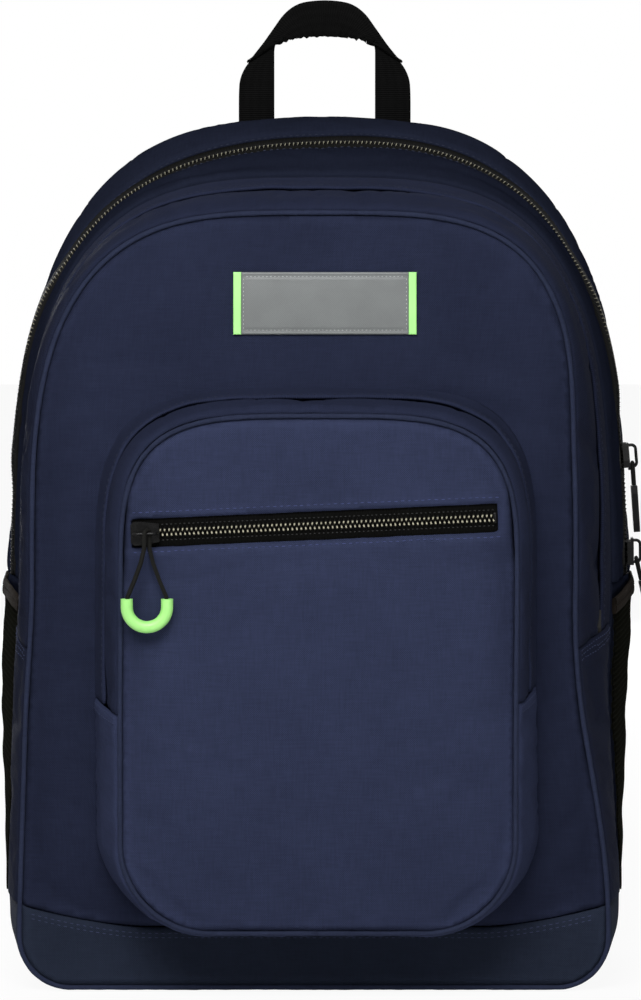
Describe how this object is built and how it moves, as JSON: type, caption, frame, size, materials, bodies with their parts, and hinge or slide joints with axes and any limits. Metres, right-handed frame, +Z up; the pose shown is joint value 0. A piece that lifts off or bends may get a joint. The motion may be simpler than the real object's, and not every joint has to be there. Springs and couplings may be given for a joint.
{
  "type": "school backpack",
  "caption": "Zipped school backpack with a main and a middle compartment, an arched front pocket with a zipped slit, mesh side pockets, padded straps and a folding haul loop.",
  "frame": {"origin": "middle of the flat base, on the surface the bag stands on", "axes": "+Z up through the crown, -Y to the front pocket, +Y to the wearer's back, +X to the right seen from the front"},
  "size_m": [0.3376, 0.2721, 0.4975],
  "materials": {
    "navy_cloth": "matt woven polyester with a fine weave",
    "dark_navy_cloth": "matt woven polyester, darker and coarser",
    "boot_cloth": "coated polyester with a slight sheen",
    "black_tape": "woven zip tape",
    "black_coil": "nylon coil",
    "black_enamel": "satin black enamel on die-cast zinc",
    "black_webbing": "ribbed woven webbing",
    "black_plastic": "moulded acetal",
    "mesh_cloth": "knitted net",
    "elastic_binding": "soft elastic binding",
    "lime_rubber": "soft satin tube",
    "lime_print": "matt moulded bar",
    "grey_badge": "matt moulded rubber",
    "black_cord": "braided cord",
    "lining": "plain lining cloth"
  },
  "bodies": {
    "bag": {"back_panel": "dark_navy_cloth", "main_gusset_rear": "dark_navy_cloth", "main_gusset_front": "dark_navy_cloth", "side_panels": "dark_navy_cloth", "boot": "boot_cloth", "base_panel": "dark_navy_cloth", "main_zip_tape": "black_tape", "main_zip_chain": "black_coil", "main_divider": "lining", "middle_flap": "navy_cloth", "middle_gusset": "navy_cloth", "middle_side_panels": "navy_cloth", "middle_zip_tape": "black_tape", "middle_zip_chain": "black_coil", "middle_face": "navy_cloth", "middle_piping": "navy_cloth", "pocket_flap": "navy_cloth", "pocket_gusset": "navy_cloth", "pocket_gusset_lower": "navy_cloth", "pocket_zip_tape": "black_tape", "pocket_zip_chain": "black_coil", "pocket_face": "navy_cloth", "pocket_piping": "navy_cloth", "face_zip_tape": "black_tape", "face_zip_coils": "black_coil", "badge_plate": "grey_badge", "badge_bars": "lime_print", "mesh_pocket_right": "mesh_cloth", "mesh_pocket_left": "mesh_cloth", "mesh_binding_right": "elastic_binding", "mesh_binding_left": "elastic_binding", "strap_yoke": "dark_navy_cloth", "strap_wings": "dark_navy_cloth"},
    "face_slider": {"face_slider": "black_enamel"},
    "face_pull": {"face_pull_cord": "black_cord", "face_pull_grip": "lime_rubber"},
    "upper_slider": {"upper_slider": "black_enamel"},
    "upper_pull": {"upper_pull_cord": "black_cord", "upper_pull_tab": "black_plastic"},
    "lower_slider": {"lower_slider": "black_enamel"},
    "lower_pull": {"lower_pull_cord": "black_cord", "lower_pull_tab": "black_plastic"},
    "middle_slider": {"middle_slider": "black_enamel"},
    "pocket_slider": {"pocket_slider": "black_enamel"},
    "haul_loop": {"haul_loop": "black_webbing"},
    "strap_right": {"strap_pad_right": "dark_navy_cloth", "strap_webbing_right": "black_webbing", "ladder_lock_right": "black_plastic"},
    "strap_left": {"strap_pad_left": "dark_navy_cloth", "strap_webbing_left": "black_webbing", "ladder_lock_left": "black_plastic"}
  },
  "joints": [
    {"name": "face_zip", "type": "slide", "parent": "bag", "child": "face_slider", "axis": [0.999, 0, 0.0436], "range_m": [0, 0.162], "deforming": ["face_zip_coils"]},
    {"name": "face_pull_swing", "type": "hinge", "parent": "face_slider", "child": "face_pull", "pos_m": [-0.08442, -0.13143, 0.23331], "axis": [-0.999, 0, -0.0436], "range_deg": [0, 110]},
    {"name": "upper_zip", "type": "slide", "parent": "bag", "child": "upper_slider", "axis": [-0.086, 0, 0.9963], "range_m": [-0.0015, 0.024], "deforming": ["main_zip_chain", "main_zip_tape"]},
    {"name": "upper_pull_swing", "type": "hinge", "parent": "upper_slider", "child": "upper_pull", "pos_m": [0.16173, 0.02, 0.25884], "axis": [0, -1, 0], "range_deg": [0, 100]},
    {"name": "lower_zip", "type": "slide", "parent": "bag", "child": "lower_slider", "axis": [-0.0183, 0, 0.9998], "range_m": [-0.003, 0.001], "deforming": ["main_zip_chain", "main_zip_tape"]},
    {"name": "lower_pull_swing", "type": "hinge", "parent": "lower_slider", "child": "lower_pull", "pos_m": [0.16385, 0.02, 0.20957], "axis": [0, -1, 0], "range_deg": [0, 100]},
    {"name": "middle_zip", "type": "slide", "parent": "bag", "child": "middle_slider", "axis": [0, 0, 1], "range_m": [0, 0.036], "deforming": ["middle_zip_chain", "middle_zip_tape"]},
    {"name": "pocket_zip", "type": "slide", "parent": "bag", "child": "pocket_slider", "axis": [0, 0, 1], "range_m": [0, 0.03], "deforming": ["pocket_zip_chain", "pocket_zip_tape"]},
    {"name": "haul_loop_fold", "type": "hinge", "parent": "bag", "child": "haul_loop", "pos_m": [0, 0.0852, 0.4315], "axis": [1, 0, 0], "range_deg": [-95, 75], "stiffness_Nm_per_rad": 0.1},
    {"name": "strap_right_swing", "type": "hinge", "parent": "bag", "child": "strap_right", "pos_m": [0.046, 0.09586, 0.392], "axis": [-0.1905, 0.0158, 0.9816], "range_deg": [-11, 11], "stiffness_Nm_per_rad": 1.5},
    {"name": "strap_left_swing", "type": "hinge", "parent": "bag", "child": "strap_left", "pos_m": [-0.046, 0.09586, 0.392], "axis": [0.1905, 0.0158, 0.9816], "range_deg": [-11, 11], "stiffness_Nm_per_rad": 1.5}
  ]
}
